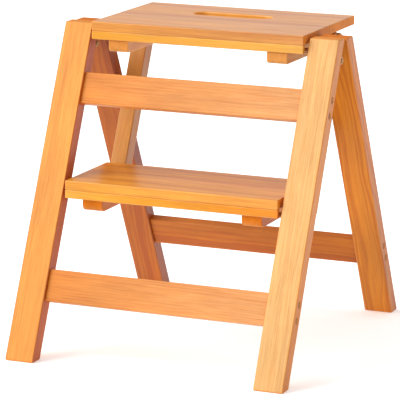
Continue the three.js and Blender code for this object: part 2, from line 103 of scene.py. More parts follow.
# How far the camera sees, and how far the floor reaches to each side, in metres.
SIGHT, FLOOR_REACH = 200.0, 80.0


def front_y(height, behind):
    """Y on a front leg, before the stool is centred: height tan(lean) + behind / cos(lean)."""
    return height * math.tan(FRONT_LEAN) + behind / math.cos(FRONT_LEAN)


def on_frame(point, origin, lean):
    """A stool point (Y, Z) as (behind, along) on a frame: turned back by its lean at its origin."""
    y, z = point[0] - origin[0], point[1] - origin[1]
    return (y * math.cos(lean) - z * math.sin(lean), y * math.sin(lean) + z * math.cos(lean))


SEAT_PIVOT = (front_y(SEAT_HEIGHT - PIVOT_DROP, PIVOT_SETBACK), SEAT_HEIGHT - PIVOT_DROP)
STEP_PIVOT = (front_y(STEP_HEIGHT - PIVOT_DROP, PIVOT_SETBACK), STEP_HEIGHT - PIVOT_DROP)
LINK_SPAN = math.dist(SEAT_PIVOT, STEP_PIVOT)
REAR_FOOT = (front_y(REAR_LEG_HEIGHT, LEG_THICKNESS) + LEG_TOP_GAP
             + REAR_LEG_HEIGHT * math.tan(REAR_LEAN))
HALF_DEPTH = (REAR_FOOT + LEG_THICKNESS / math.cos(REAR_LEAN)) / 2
HINGE = (front_y(REAR_LEG_HEIGHT - HINGE_DROP, LEG_THICKNESS + HINGE_STAND_OFF),
         REAR_LEG_HEIGHT - HINGE_DROP)
HINGE_ON_FRONT = on_frame(HINGE, (0, 0), FRONT_LEAN)
HINGE_ON_REAR = on_frame(HINGE, (REAR_FOOT, 0), -REAR_LEAN)
LEAF_TOP = HINGE_ON_FRONT[1] - BARREL_RADIUS

# Each group's own (Y, Z) origin and lean. Its pieces are drawn as (behind, along) from there.
GROUPS = {
    "front_frame": ((0.0, 0.0), FRONT_LEAN),
    "rear_frame": ((REAR_FOOT, 0.0), -REAR_LEAN),
    "seat": (SEAT_PIVOT, 0.0),
    "step": (STEP_PIVOT, 0.0),
    "links": ((STEP_PIVOT[0] + ARM_REACH, STEP_PIVOT[1] - ARM_DROP), FRONT_LEAN),
}


# ---- Shells: points, outward normals, faces and edge wear with painted highlight, in a group's own (X, behind, along) ----


def unit(v):
    """Each row of v over its own length."""
    return v / np.linalg.norm(v, axis=-1, keepdims=True)


def across(side, near, far):
    """The span in X, low end first, between two distances from the middle of the stool."""
    return sorted((side * near, side * far))


def arc(centre, radius, start, stop, count):
    """Points on a circle between two angles."""
    a = np.linspace(start, stop, count)
    return np.stack([centre[0] + radius * np.cos(a), centre[1] + radius * np.sin(a)], -1)


def rounded(corners, inset):
    """A closed line of corners (u, v, radius), counter-clockwise, moved in by inset.

    Each corner is an arc about centre = corner + bisector * r / sin(half the corner's angle), with
    r the larger of radius and inset, and of radius less inset (plus inset in an inward corner).
    Returns points, outward normals and the bend, which is sin(pi t) along each arc."""
    c = np.array(corners, float)
    p, r = c[:, :2], c[:, 2]
    before, after = unit(np.roll(p, 1, 0) - p), unit(np.roll(p, -1, 0) - p)
    half = np.arccos(np.clip((before * after).sum(1), -1, 1)) / 2
    outer = (before[:, 1] * after[:, 0] - before[:, 0] * after[:, 1]) > 0
    sign = np.where(outer, 1.0, -1.0)
    held = np.where(outer, np.maximum(r, inset), r)
    left = np.where(outer, np.maximum(r - inset, 0.02), r + inset)
    centre = p + unit(before + after) * (held / np.sin(half))[:, None]
    start = unit(p + before * (held / np.tan(half))[:, None] - centre)
    end = unit(p + after * (held / np.tan(half))[:, None] - centre)
    first = np.arctan2(start[:, 1], start[:, 0])
    sweep = np.arctan2(start[:, 0] * end[:, 1] - start[:, 1] * end[:, 0], (start * end).sum(1))
    t = np.linspace(0, 1, CORNER_POINTS)
    angle = first[:, None] + sweep[:, None] * t
    ray = np.stack([np.cos(angle), np.sin(angle)], -1)
    points = centre[:, None] + left[:, None, None] * ray
    bend = np.sin(np.pi * t)[None] * outer[:, None]
    return points.reshape(-1, 2), (ray * sign[:, None, None]).reshape(-1, 2), bend.ravel()


def traced(points, inset):
    """A closed line through given points, counter-clockwise, moved in by inset along its normals,
    which are the halfway directions of the two neighbouring sides turned by a quarter."""
    p = np.array(points, float)
    way = unit(unit(np.roll(p, -1, 0) - p) + unit(p - np.roll(p, 1, 0)))
    normal = np.stack([way[:, 1], -way[:, 0]], -1)
    return p - normal * inset, normal, np.zeros(len(p))


def band(rings, count):
    """Quads between neighbouring closed rings, which have count points each."""
    j, i = np.meshgrid(np.arange(rings - 1), np.arange(count), indexing="ij")
    k = (i + 1) % count
    quads = np.stack([j * count + i, j * count + k, (j + 1) * count + k, (j + 1) * count + i], -1)
    return quads.reshape(-1, 4).tolist()


def pole_to_pole(rings, count):
    """The band's quads, and a fan from each end ring to its pole. The poles are the last points."""
    i = np.arange(count)
    k = (i + 1) % count
    pole, last = rings * count, (rings - 1) * count
    return (band(rings, count) + np.stack([k, i, np.full(count, pole)], -1).tolist()
            + np.stack([last + i, last + k, np.full(count, pole + 1)], -1).tolist())


def carried(outline, corners, ends, ease, bores=()):
    """A line, rounded or traced, carried along X, with a quarter round of radius ease at both ends.

    At angle a of the quarter round the line is moved in by ease (1 - cos a) and lies
    ease (1 - sin a) from the end; the normal is cos a of the line's and sin a of the end's.
    bores are (u, v, radius, depth, end): blind round holes in the low end (-1) or the high (1)."""
    quarter = np.linspace(0, math.pi / 2, EASE_POINTS)
    rings = []
    for end, x_end, angles in ((-1, ends[0], quarter[::-1]), (1, ends[1], quarter)):
        for a in angles:
            line, normal, bend = outline(corners, ease * (1 - math.cos(a)))
            x = np.full((len(line), 1), x_end - end * ease * (1 - math.sin(a)))
            side = np.full((len(line), 1), end * math.sin(a))
            rings.append((np.hstack([x, line]), np.hstack([side, normal * math.cos(a)]),
                          np.maximum(bend * math.cos(a), math.sin(2 * a))))
    count = len(rings[0][0])
    points, normals = np.vstack([r[0] for r in rings]), np.vstack([r[1] for r in rings])
    edge_wear_and_highlight = np.concatenate([r[2] for r in rings])
    faces = band(len(rings), count)
    for end, first in ((-1, 0), (1, (len(rings) - 1) * count)):
        loops = [np.arange(first, first + count)]
        for u, v, radius, depth, at_end in bores:
            if at_end == end:
                hole, start = blind_hole(points[first][0], end, u, v, radius, depth), len(points)
                points, normals = np.vstack([points, hole[0]]), np.vstack([normals, hole[1]])
                edge_wear_and_highlight = np.concatenate([edge_wear_and_highlight, hole[3]])
                faces += [[i + start for i in face] for face in hole[2]]
                loops.append(np.arange(start, start + FACETS))
        flat = [[Vector((points[i][1], points[i][2], 0)) for i in loop] for loop in loops]
        corner = np.concatenate(loops)[np.array(tessellate_polygon(flat))]
        (ay, az), (by, bz), (cy, cz) = points[corner][:, :, 1:].transpose(1, 2, 0)
        turn = (by - ay) * (cz - az) - (bz - az) * (cy - ay)
        corner = np.where((turn * end > 0)[:, None], corner, corner[:, ::-1])
        faces += corner[np.abs(turn) > 1e-9].tolist()
    return points, normals, faces, edge_wear_and_highlight


def blind_hole(x, end, u, v, radius, depth):
    """A round blind hole: its mouth is a quarter round of 0.5, radius + 0.5 (1 - sin a) at a depth
    of 0.5 (1 - cos a), then a plain wall and a flat bottom that closes in its middle."""
    mouth = 0.5
    a = np.linspace(0, math.pi / 2, EASE_POINTS)
    r = np.concatenate([radius + mouth * (1 - np.sin(a)), [radius, radius - 0.5]])
    d = np.concatenate([mouth * (1 - np.cos(a)), [depth - 0.3, depth]])
    tilt = np.concatenate([a, [math.pi / 2, 0.0]])[:, None, None]
    way = np.linspace(0, 2 * math.pi, FACETS, endpoint=False) * end
    ray = np.stack([np.cos(way), np.sin(way)], -1)[None]
    flat = np.ones((len(r), FACETS, 1))
    points = np.concatenate([x * flat - end * d[:, None, None],
                             np.array([u, v]) + r[:, None, None] * ray], -1).reshape(-1, 3)
    normals = np.concatenate([end * flat * np.cos(tilt), -np.sin(tilt) * ray], -1).reshape(-1, 3)
    bottom = list(range((len(r) - 1) * FACETS, len(r) * FACETS))
    return points, normals, [*band(len(r), FACETS), bottom], np.repeat(np.sin(2 * tilt), FACETS)


def turned(profile, centre, facets=FACETS, side=1):
    """A line of (radius, place) turned about X through centre, closed in its two poles.

    A point at radius r and angle t lies at r cos t, r sin t across the axis. The profile's slope
    (dr, dp) gives the normal (dp, -dr). On side -1 it is turned half round, to point left."""
    pr = np.array(profile, float)
    slope = np.gradient(pr, axis=0)
    n = unit(np.stack([slope[:, 1], -slope[:, 0]], -1) + 1e-12)[1:-1, :, None]
    t = np.linspace(0, 2 * math.pi, facets, endpoint=False)
    c, s = np.cos(t), np.sin(t)
    r, p = pr[1:-1, :1], pr[1:-1, 1:]
    grid = np.stack([p + 0 * c, r * c, r * s], -1).reshape(-1, 3)
    normal = np.stack([n[:, 1] + 0 * c, n[:, 0] * c, n[:, 0] * s], -1).reshape(-1, 3)
    points = np.vstack([grid, [[pr[0, 1], 0, 0], [pr[-1, 1], 0, 0]]])
    normals = np.vstack([normal, [[-1, 0, 0], [1, 0, 0]]])
    if side < 0:
        points, normals = points * np.array([-1, -1, 1]), normals * np.array([-1, -1, 1])
    return points + np.array(centre), normals, pole_to_pole(len(r), facets), np.zeros(len(points))


def joined(*shells):
    """Several shells as one: their points in a row, with each one's faces counted on."""
    starts = np.cumsum([0] + [len(s[0]) for s in shells[:-1]]).tolist()
    faces = [[i + start for i in face] for start, s in zip(starts, shells) for face in s[2]]
    return (np.vstack([s[0] for s in shells]), np.vstack([s[1] for s in shells]), faces,
            np.concatenate([s[3] for s in shells]))


# ---- Pieces ----

PLACED = []


def piece(node, body, shell, material, slot, along="along", pith=(70.0, 40.0), stain_and_painted_light=(0.5, 0.5),
          painted_side_shade=0.0, tint=0.0, front_painted_shade=0.0):
    """Puts a shell where its group stands, and gives it the run of its grain.

    (X, behind, along) becomes Y = y0 + behind cos(lean) + along sin(lean) and
    Z = z0 - behind sin(lean) + along cos(lean), in metres, with the depth centred. The grain is
    (place along it, and two places across it from the pith), in millimetres, with its own start for
    each piece. The stain goes evenly from its first value at the stool's left side to its second at
    the right: partly the wood's own tone, partly painted light, deeper on the left and paler on the
    right as the light falls. A face that looks along X has painted shade: as much more stain as
    given for the sides. The tint, which paints light on the hand hole's walls, is added point by
    point. The sawn ends of legs and links have a stain of their own. A face that looks to the front
    is darkened by painted shade, as much as given for the front."""
    points, normals, faces, edge_wear_and_highlight = shell
    looks = unit(normals + 1e-9)
    (y0, z0), lean = GROUPS[body]
    c, s = math.cos(lean), math.sin(lean)
    turn = np.array([[1, 0, 0], [0, c, s], [0, -s, c]])
    world = points @ turn.T + np.array([0, y0 - HALF_DEPTH, z0])
    mesh = bpy.data.meshes.new(node)
    mesh.from_pydata((world / 1000).tolist(), [], faces)
    mesh.polygons.foreach_set("use_smooth", np.ones(len(mesh.polygons), bool))
    order = {"x": [0, 1, 2], "behind": [1, 0, 2], "along": [2, 0, 1]}[along]
    grain = points[:, order] + np.array([GRAIN_STEP * len(PLACED) % GRAIN_SPAN, *pith])
    mesh.attributes.new("grain", "FLOAT_VECTOR", "POINT").data.foreach_set(
        "vector", grain.astype(np.float32).ravel())
    end = np.clip((np.abs(looks[:, order[0]]) - 0.5) / 0.4, 0, 1)
    # Partly painted light: the stain deepens to the left and pales to the right as the light falls.
    share = np.clip(0.5 + points[:, 0] / STOOL_WIDTH, 0, 1)
    # Painted shade: faces that look along X get more stain.
    side_shade_mask = np.clip((np.abs(looks[:, 0]) - 0.3) / 0.5, 0, 1)
    depth = stain_and_painted_light[0] + (stain_and_painted_light[1] - stain_and_painted_light[0]) * share + painted_side_shade * side_shade_mask + tint
    if along == "along":
        depth = depth + (SAWN_STAIN - depth) * end
    # Painted shade: faces that look to the front are darkened.
    painted_shade = front_painted_shade * np.clip((-looks[:, 1] - 0.3) / 0.5, 0, 1)
    for name, values in (("end", end), ("edge_wear_and_highlight", edge_wear_and_highlight), ("stain_and_painted_light", depth), ("painted_shade", painted_shade)):
        mesh.attributes.new(name, "FLOAT", "POINT").data.foreach_set(
            "value", values.astype(np.float32))
    mesh.update()
    mesh.normals_split_custom_set_from_vertices((looks @ turn.T).tolist())
    mesh.materials.append(material)
    made = bpy.data.objects.new(f"{node}_{'steel' if slot == 'steel' else 'wood'}", mesh)
    bpy.context.scene.collection.objects.link(made)
    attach(made, body)
    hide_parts(node)
    PLACED.append(made)


def box_corners(y0, y1, z0, z1, radii):
    """Four corners, counter-clockwise from the lower front, each with its radius."""
    return [(y0, z0, radii[0]), (y1, z0, radii[1]), (y1, z1, radii[2]), (y0, z1, radii[3])]


def leg(side, lean, height, places):
    """A leg: a parallelogram whose foot and head are level with the floor, so that they rise by
    thickness tan(lean) from front to back, and a bore in its outer face for each plug."""
    rise, head = LEG_THICKNESS * math.tan(lean), height / math.cos(lean)
    corners = [(0, 0, FOOT_ROUND), (LEG_THICKNESS, rise, FOOT_ROUND),
               (LEG_THICKNESS, head + rise, LEG_TOP_ROUND), (0, head, LEG_TOP_ROUND)]
    bores = [(LEG_THICKNESS / 2, place, PLUG_BORE, PLUG_HEIGHT + 1, side) for place in places]
    return carried(rounded, corners, across(side, LEG_INNER, LEG_OUTER), LEG_EASE, bores)


def rail(place):
    """A rail: a rectangle in the middle of the legs' thickness, with eased long edges."""
    front = (LEG_THICKNESS - RAIL_THICKNESS) / 2
    corners = box_corners(front, front + RAIL_THICKNESS, place - RAIL_WIDTH / 2,
                          place + RAIL_WIDTH / 2, (RAIL_ROUND,) * 4)
    return carried(rounded, corners, (-LEG_INNER, LEG_INNER), RAIL_EASE)


def plug_shell(side, place):
    """A wooden plug, a little domed, over the plain shank of its screw: one turned line."""
    top, seat = LEG_OUTER - 0.5, LEG_OUTER - PLUG_HEIGHT
    tip, taper, shank = LEG_INNER - 22, LEG_INNER - 18, 2.2
    profile = [(0, tip), (0.6, tip), (shank, taper), (shank, seat), (shank + 0.2, seat),
               (PLUG_RADIUS - 0.4, seat), (PLUG_RADIUS, seat + 0.4), (PLUG_RADIUS, top - 0.7),
               (PLUG_RADIUS - 0.2, top - 0.25), (PLUG_RADIUS - 0.7, top),
               (PLUG_RADIUS * 0.5, top + 0.12), (0, top + 0.15)]
    return turned(profile, (0, LEG_THICKNESS / 2, place), side=side)


def rod_shell(radius, ends, behind, place):
    """A round rod with a small chamfer at both ends: one turned line."""
    low, high = ends
    e = min(0.6, radius / 4)
    profile = [(0, low), (radius - e, low), (radius, low + e), (radius, (low + high) / 2),
               (radius, high - e), (radius - e, high), (0, high)]
    return turned(profile, (0, behind, place), ROD_FACETS)


def plank(y0, y1, z0, z1, front, back):
    """A plank along X: a rectangle with its outer long edges rounded and its glued ones just eased,
    and both a little less underneath."""
    corners = box_corners(y0, y1, z0, z1, (front * 0.7, back * 0.7, back, front))
    return carried(rounded, corners, (-SLAB_END, SLAB_END), BOARD_EASE)


def holed_plank(y0, y1, z0, z1, slot_y):
    """The plank with the hand hole, as one closed ring of sections.

    Round the hole, at direction a from the middle line of the slot, the section's inner line is at
    M + radius * a and its outer line where the ray from M leaves the plank. Along the section the
    surface runs over the top, down the outer side, back underneath and up the hole's wall, with a
    quarter round at each of the four turns."""
    radius, nick = HOLE_WIDTH / 2, 0.4
    half = HOLE_LENGTH / 2 - radius
    reach = SLAB_END - half
    corner_ways = [math.atan2(sign * abs(edge - sign * dy - slot_y), reach - dx)
                   for sign, edge in ((1, y1), (-1, y0)) for dy, dx in ((nick, 0.0), (0.0, nick))]
    fan = np.sort(np.concatenate([np.linspace(-math.pi / 2, math.pi / 2, 33), corner_ways]))
    angle = np.concatenate([fan, math.pi - fan[::-1]])
    middle = np.concatenate([np.full(len(fan), half), np.full(len(fan), -half)])
    ray = np.stack([np.cos(angle), np.sin(angle)], -1)
    core = np.stack([middle, np.full(len(angle), slot_y)], -1)
    to_end = reach / np.maximum(np.abs(ray[:, 0]), 1e-9)
    to_side = (np.where(ray[:, 1] > 0, y1 - slot_y, slot_y - y0)
               / np.maximum(np.abs(ray[:, 1]), 1e-9))
    at_end = to_end < to_side
    inner, outer = core + radius * ray, core + np.minimum(to_end, to_side)[:, None] * ray
    out_way = np.where(at_end[:, None], np.stack([np.sign(ray[:, 0]), 0 * angle], -1),
                       np.stack([0 * angle, np.sign(ray[:, 1])], -1))
    ease_out = np.where(at_end, BOARD_EASE, GLUED_ROUND)[:, None]
    rows, normals, edge_wear_and_highlight = [], [], []
    quarter, flat = np.linspace(0, math.pi / 2, EASE_POINTS), np.ones((len(angle), 1))
    wall, rim = (inner, -ray, HOLE_EASE), (outer, out_way, ease_out)
    for (line, way, ease), z, up, angles in ((wall, z1, 1, quarter[::-1]), (rim, z1, 1, quarter),
                                             (rim, z0, -1, quarter[::-1]), (wall, z0, -1, quarter)):
        for a in angles:
            level = (z - up * ease * (1 - math.cos(a))) * flat
            rows.append(np.hstack([line - way * ease * (1 - math.sin(a)), level]))
            normals.append(np.hstack([way * math.sin(a), up * math.cos(a) * flat]))
            edge_wear_and_highlight.append(np.full(len(angle), math.sin(2 * a)))
    count, total = len(angle), len(rows)
    j, i = np.meshgrid(np.arange(total), np.arange(count), indexing="ij")
    j2, i2 = (j + 1) % total, (i + 1) % count
    faces = np.stack([j * count + i, j2 * count + i, j2 * count + i2, j * count + i2], -1)
    return (np.vstack(rows), np.vstack(normals), faces.reshape(-1, 4).tolist(),
            np.concatenate(edge_wear_and_highlight))


def cleat(side, front, strip, front_round, slab_back, tail, drop):
    """A cleat under a board: a bar let in round the strip. With a drop, what stands out behind the
    slab is a tongue, lower by that much."""
    low, end, top = BOARD_UNDER - CLEAT_HEIGHT, ARM_REACH + tail, BOARD_UNDER - drop
    let_in = BOARD_UNDER - STRIP_HEIGHT - CLEARANCE
    shoulder = [(slab_back, top, SHOULDER_ROUND), (slab_back, BOARD_UNDER, SHOULDER_ROUND)]
    corners = [(front, low, front_round), (end, low, CLEAT_TAIL_ROUND),
               (end, top, CLEAT_TAIL_ROUND), *(shoulder if drop else []),
               (strip + CLEARANCE, BOARD_UNDER, SHOULDER_ROUND),
               (strip + CLEARANCE, let_in, SHOULDER_ROUND), (front, let_in, CLEAT_FRONT_ROUND)]
    return carried(rounded, corners, across(side, CLEAT_INNER, CLEAT_OUTER), CLEAT_EASE)


def link(side):
    """A link: a square bar with both ends cut square and a little rounded."""
    corners = box_corners(-LINK_FACE, LINK_DEPTH - LINK_FACE, -LINK_TAIL, LINK_SPAN + LINK_TAIL,
                          (LINK_ROUND,) * 4)
    return carried(rounded, corners, across(side, LINK_INNER, SLAB_END), LINK_EASE)


def stop_block(side):
    """The wedge between the tops of a front and a rear leg, with one face along each of them."""
    def corner(height, behind):
        """A corner of the wedge at a height: behind, by the rear leg, or else by the front leg."""
        rear = REAR_FOOT - height * math.tan(REAR_LEAN) - STOP_GAP / math.cos(REAR_LEAN)
        y = rear if behind else front_y(height, LEG_THICKNESS + CLEARANCE)
        return (*on_frame((y, height), (0, 0), FRONT_LEAN), BLOCK_EASE)
    under = REAR_LEG_HEIGHT - STOP_BLOCK_HEIGHT
    corners = [corner(under, False), corner(under, True), corner(REAR_LEG_HEIGHT, True),
               corner(REAR_LEG_HEIGHT, False)]
    half = STOP_BLOCK_WIDTH / 2
    return carried(rounded, corners, across(side, LEG_MIDDLE - half, LEG_MIDDLE + half), BLOCK_EASE)


def front_leaf(side):
    """The leaf on the front leg: a plate whose outer thirds roll round the pin as knuckles.

    A knuckle's line goes up the plate and round the pin from the leaf's face to its back. A short
    ring closes the barrel at each end."""
    face = LEG_THICKNESS + CLEARANCE
    low, (u, v) = LEAF_TOP - LEAF_LENGTH, HINGE_ON_FRONT
    back = face + LEAF_THICKNESS
    meets = math.asin((u - back) / BARREL_RADIUS)
    roll = arc((u, v), BARREL_RADIUS, -math.pi / 2 - meets, math.pi, 30)
    curl = np.vstack([[(back, low + 4), (back, low + 20)], roll, [(face, v - 8), (face, low + 4)],
                      [(face + 0.2, low), (back - 0.2, low)]])
    plate = box_corners(face, back, low, LEAF_TOP - 1.8, (PLATE_ROUND,) * 4)
    gap = STRAP_WIDTH / 2 + CLEARANCE
    half, inner, outer = LEAF_WIDTH / 2, LEG_MIDDLE - gap, LEG_MIDDLE + gap
    shells = [carried(traced, curl, across(side, near, far), METAL_EASE)
              for near, far in ((LEG_MIDDLE - half, inner), (outer, LEG_MIDDLE + half))]
    shells.append(carried(rounded, plate, across(side, inner - 0.2, outer + 0.2), PLATE_EASE))
    ring = arc((u, v), BARREL_RADIUS, 0, math.pi * 59 / 30, 60)
    for way in (-1, 1):
        ends = across(side, *(LEG_MIDDLE + way * x / 2 for x in (LEAF_WIDTH, BARREL_LENGTH)))
        shells.append(carried(traced, ring, ends, METAL_EASE))
    return joined(*shells)


def rear_strap(side):
    """The strap on the rear leg: a knuckle round the pin, a run back to the leg and a run up it.

    The line is the pin's circle, open by the strap's thickness, and both faces of the two runs,
    half a thickness off their middle line, with a mitre where they bend."""
    half = LEAF_THICKNESS / 2
    centre = np.array(HINGE_ON_REAR)
    bend = np.array([-CLEARANCE - half, HINGE_ON_REAR[1] - STRAP_CRANK])
    end = bend + np.array([0.0, STRAP_LENGTH])
    out, up = unit(bend - centre), unit(end - bend)
    left_out, left_up = np.array([-out[1], out[0]]), np.array([-up[1], up[0]])
    mitre = unit(left_out + left_up) * half / math.sqrt((1 + left_out @ left_up) / 2)
    way, open_half = math.atan2(out[1], out[0]), math.asin(half / BARREL_RADIUS)
    roll = arc(centre, BARREL_RADIUS, way + open_half, way + 2 * math.pi - open_half, 36)
    line = np.vstack([roll, bend - mitre, end - left_up * half, end + left_up * half, bend + mitre])
    ends = across(side, LEG_MIDDLE - STRAP_WIDTH / 2, LEG_MIDDLE + STRAP_WIDTH / 2)
    return carried(traced, line, ends, METAL_EASE)


def hinge_pin(side):
    """The hinge pin with its two peened heads: one turned line."""
    reach, head, tall = BARREL_LENGTH / 2 + PIN_PLAY, PIN_HEAD_RADIUS, PIN_HEAD_HEIGHT
    a, b = LEG_MIDDLE - reach, LEG_MIDDLE + reach
    profile = [(0, a - tall), (head * 0.6, a - 1.15), (head - 0.3, a - 0.8), (head, a - 0.4),
               (head, a), (PIN_RADIUS, a), (PIN_RADIUS, a + 0.2), (PIN_RADIUS, b - 0.2),
               (PIN_RADIUS, b), (head, b), (head, b + 0.4), (head - 0.3, b + 0.8),
               (head * 0.6, b + 1.15), (0, b + tall)]
    return turned(profile, (0, *HINGE_ON_FRONT), PIN_FACETS, side)


def crossed_screw(x, face, place, way):
    """A pan-head screw that goes into a leg's face; its head has a cross pressed in.

    The head's height is 1.6 (1 - 0.25 (r / 3.6)^4), less 0.9 in either arm of the cross. An arm is
    full up to 0.45 off its middle line and 2.1 out, and runs out within the next 0.3."""
    head, tall, facets = 3.6, 1.6, 64
    rr, tt = np.meshgrid(np.linspace(0.08, head, 18), np.linspace(0, 2 * math.pi, facets, False),
                         indexing="ij")
    t = tt[0]
    a, b = np.abs(rr * np.cos(tt)), np.abs(rr * np.sin(tt))
    arms = [np.clip((0.75 - p) / 0.3, 0, 1) * np.clip((2.4 - q) / 0.3, 0, 1)
            for p, q in ((a, b), (b, a))]
    height = tall * (1 - 0.25 * (rr / head) ** 4) - 0.9 * np.maximum(*arms)
    wall = np.array([(head, 0.1), (head - 0.1, 0.0), (1.6, 0.0), (1.6, -14.0), (1.4, -16.2)])
    radius = np.vstack([rr, wall[:, :1] * np.ones(facets)])
    level = np.vstack([height, wall[:, 1:] * np.ones(facets)])
    ring = np.stack([radius * np.cos(t), level, radius * np.sin(t)], -1).reshape(-1, 3)
    points = np.vstack([ring, [[0, 0.7, 0], [0, -16.6, 0]]])
    dr, dt = np.gradient(radius, axis=0), np.gradient(level, axis=0)
    slope = np.stack([-dt * np.cos(t), dr, -dt * np.sin(t)], -1).reshape(-1, 3)
    normals = np.vstack([unit(slope + 1e-9), [[0, 1, 0], [0, -1, 0]]])
    if way < 0:
        points, normals = points * np.array([-1, -1, 1]), normals * np.array([-1, -1, 1])
    return (points + np.array([x, face, place]), normals, pole_to_pole(len(radius), facets),
            np.zeros(len(points)))


def cap_shell(side, place):
    """A push-on cap with a domed top: radius 6.5 cos a at a height of 0.9 + 2.7 sin a."""
    rim, start = 0.9, SLAB_END + CLEARANCE
    dome = [(CAP_RADIUS * math.cos(a), start + rim + (CAP_HEIGHT - rim) * math.sin(a))
            for a in np.linspace(0, math.pi / 2, 9)]
    profile = [(0, start), (CAP_RADIUS - 0.5, start), (CAP_RADIUS, start + 0.4), *dome[:-1],
               (0, start + CAP_HEIGHT)]
    return turned(profile, (0, 0, place), side=side)


# ---- Finishes ----


def linear(code):
    """The linear colour of a code such as e6b396."""
    s = np.array([int(code[i:i + 2], 16) for i in (0, 2, 4)]) / 255
    return (*np.where(s <= 0.04045, s / 12.92, ((s + 0.055) / 1.055) ** 2.4), 1.0)


class Recipe:
    """A material's nodes, put down one at a time and joined by their sockets."""

    def __init__(self, name):
        self.material = bpy.data.materials.new(name)
        self.material.use_nodes = True
        self.tree = self.material.node_tree
        self.shader = self.tree.nodes["Principled BSDF"]

    def put(self, kind, inputs=(), **settings):
        """A new node with its settings and its inputs, each a value or another node's socket."""
        node = self.tree.nodes.new("ShaderNode" + kind)
        for key, value in settings.items():
            setattr(node, key, value)
        for key, value in dict(inputs).items():
            self.set(node.inputs[key], value)
        return node

    def set(self, socket, value):
        """Gives a socket a value, or joins another node's socket to it."""
        if isinstance(value, bpy.types.NodeSocket):
            self.tree.links.new(value, socket)
        else:
            socket.default_value = value

    def shade(self, **values):
        """Sets the shader's own sockets; a _ in a name stands for a space."""
        for name, value in values.items():
            self.set(self.shader.inputs[name.replace("_", " ")], value)

    def reads(self, name, output="Fac"):
        """A piece's own attribute, as a number or with output Vector."""
        return self.put("Attribute", attribute_name=name).outputs[output]

    def sum(self, operation, a, b=0.0, c=0.0, clamp=False):
        """One step of arithmetic on up to three values."""
        return self.put("Math", {0: a, 1: b, 2: c}, operation=operation, use_clamp=clamp).outputs[0]

    def noise(self, vector, length, width, detail=2.0, roughness=0.5):
        """Noise of so many waves per unit along the first axis and across the other two."""
        place = self.put("Mapping", {"Vector": vector, "Scale": (length, width, width)},
                         vector_type="POINT").outputs[0]
        return self.put("TexNoise", {"Vector": place, "Scale": 1.0, "Detail": detail,
                                     "Roughness": roughness}).outputs["Fac"]

    def drift(self, value, scale, detail):
        """Noise along a single value."""
        return self.put("TexNoise", {"W": value, "Scale": scale, "Detail": detail},
                        noise_dimensions="1D").outputs[0]

    def spread(self, value, low, high, to_low=0.0, to_high=1.0):
        """A value between low and high spread evenly over another range, and held at its ends."""
        return self.put("MapRange", {"Value": value, "From Min": low, "From Max": high,
                                     "To Min": to_low, "To Max": to_high}).outputs[0]

    def mix(self, share, a, b, blend="MIX"):
        """Colour a with a share of colour b laid over it."""
        node = self.put("Mix", data_type="RGBA", blend_type=blend)
        self.set(node.inputs[0], share)
        self.set(node.inputs[6], a)
        self.set(node.inputs[7], b)
        return node.outputs[2]

    def glaze(self, share, colour, tint):
        """A colour multiplied by a share of a tint."""
        return self.mix(share, colour, (*tint, 1), "MULTIPLY")

    def bump(self, height, strength, distance):
        """Lets a height move the surface's normal."""
        bump = self.put("Bump", {"Strength": strength, "Distance": distance, "Height": height})
        self.shade(Normal=bump.outputs[0])


# Tints that pine's colour is multiplied by, and bare wood on eased edges: wear and painted
# highlight.
LATEWOOD, FIBRE, WARMTH = (0.70, 0.46, 0.28), (0.80, 0.62, 0.46), (0.97, 0.90, 0.66)
END_GRAIN, END_DOTS = (0.95, 0.71, 0.45), (0.62, 0.44, 0.28)
BARE_WOOD_AND_HIGHLIGHT = (0.90, 0.62, 0.33, 1)
# The tone of one growth ring, from its start to its end: slowly darker, then quickly pale again.
RING_TONES = ((0.0, 0.5), (0.15, 0.02), (0.45, 0.12), (0.78, 0.7), (0.92, 1.0), (1.0, 0.6))


